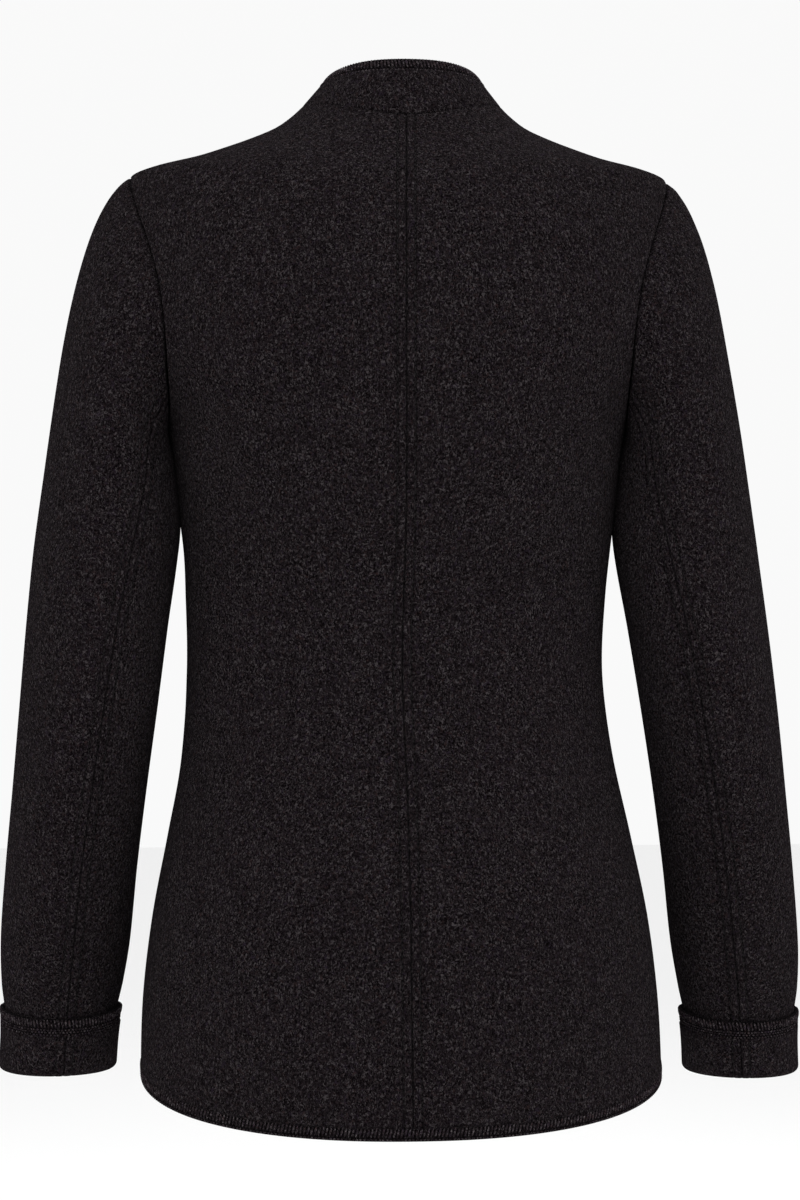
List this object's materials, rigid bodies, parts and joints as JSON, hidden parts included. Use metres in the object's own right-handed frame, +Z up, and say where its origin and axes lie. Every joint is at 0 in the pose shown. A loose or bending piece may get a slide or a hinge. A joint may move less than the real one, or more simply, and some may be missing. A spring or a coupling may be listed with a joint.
{
  "type": "tyrolean loden jacket",
  "caption": "Women's hip-length boiled-wool jacket with a stand collar, set-in two-piece sleeves, turned-back cuffs, knitted edging and a buttoned front, filled out with no wearer.",
  "frame": {"origin": "middle of the neck opening, level with the points where the collar meets the shoulder seams", "axes": "+Z up towards the head, -Y the way the wearer faces, +X towards the wearer's left"},
  "size_m": [0.5772, 0.2544, 0.7309],
  "materials": {
    "wool": "matt boiled wool, dark grey melange",
    "knit_edging": "matt knitted wool braid",
    "horn": "satin dark horn"
  },
  "bodies": {
    "root": {"back_left": "wool", "back_right": "wool", "front_left": "wool", "front_right": "wool", "sleeve_upper_left": "wool", "sleeve_upper_right": "wool", "sleeve_under_left": "wool", "sleeve_under_right": "wool", "cuff_left": "wool", "cuff_right": "wool", "edging_cuff_left": "knit_edging", "edging_cuff_right": "knit_edging", "collar": "wool", "edging_collar": "knit_edging", "edging_hem": "knit_edging", "edging_front_left": "knit_edging", "edging_front_right": "knit_edging", "button_1": "horn", "button_2": "horn", "button_3": "horn", "button_4": "horn", "button_5": "horn", "button_6": "horn"}
  },
  "joints": []
}
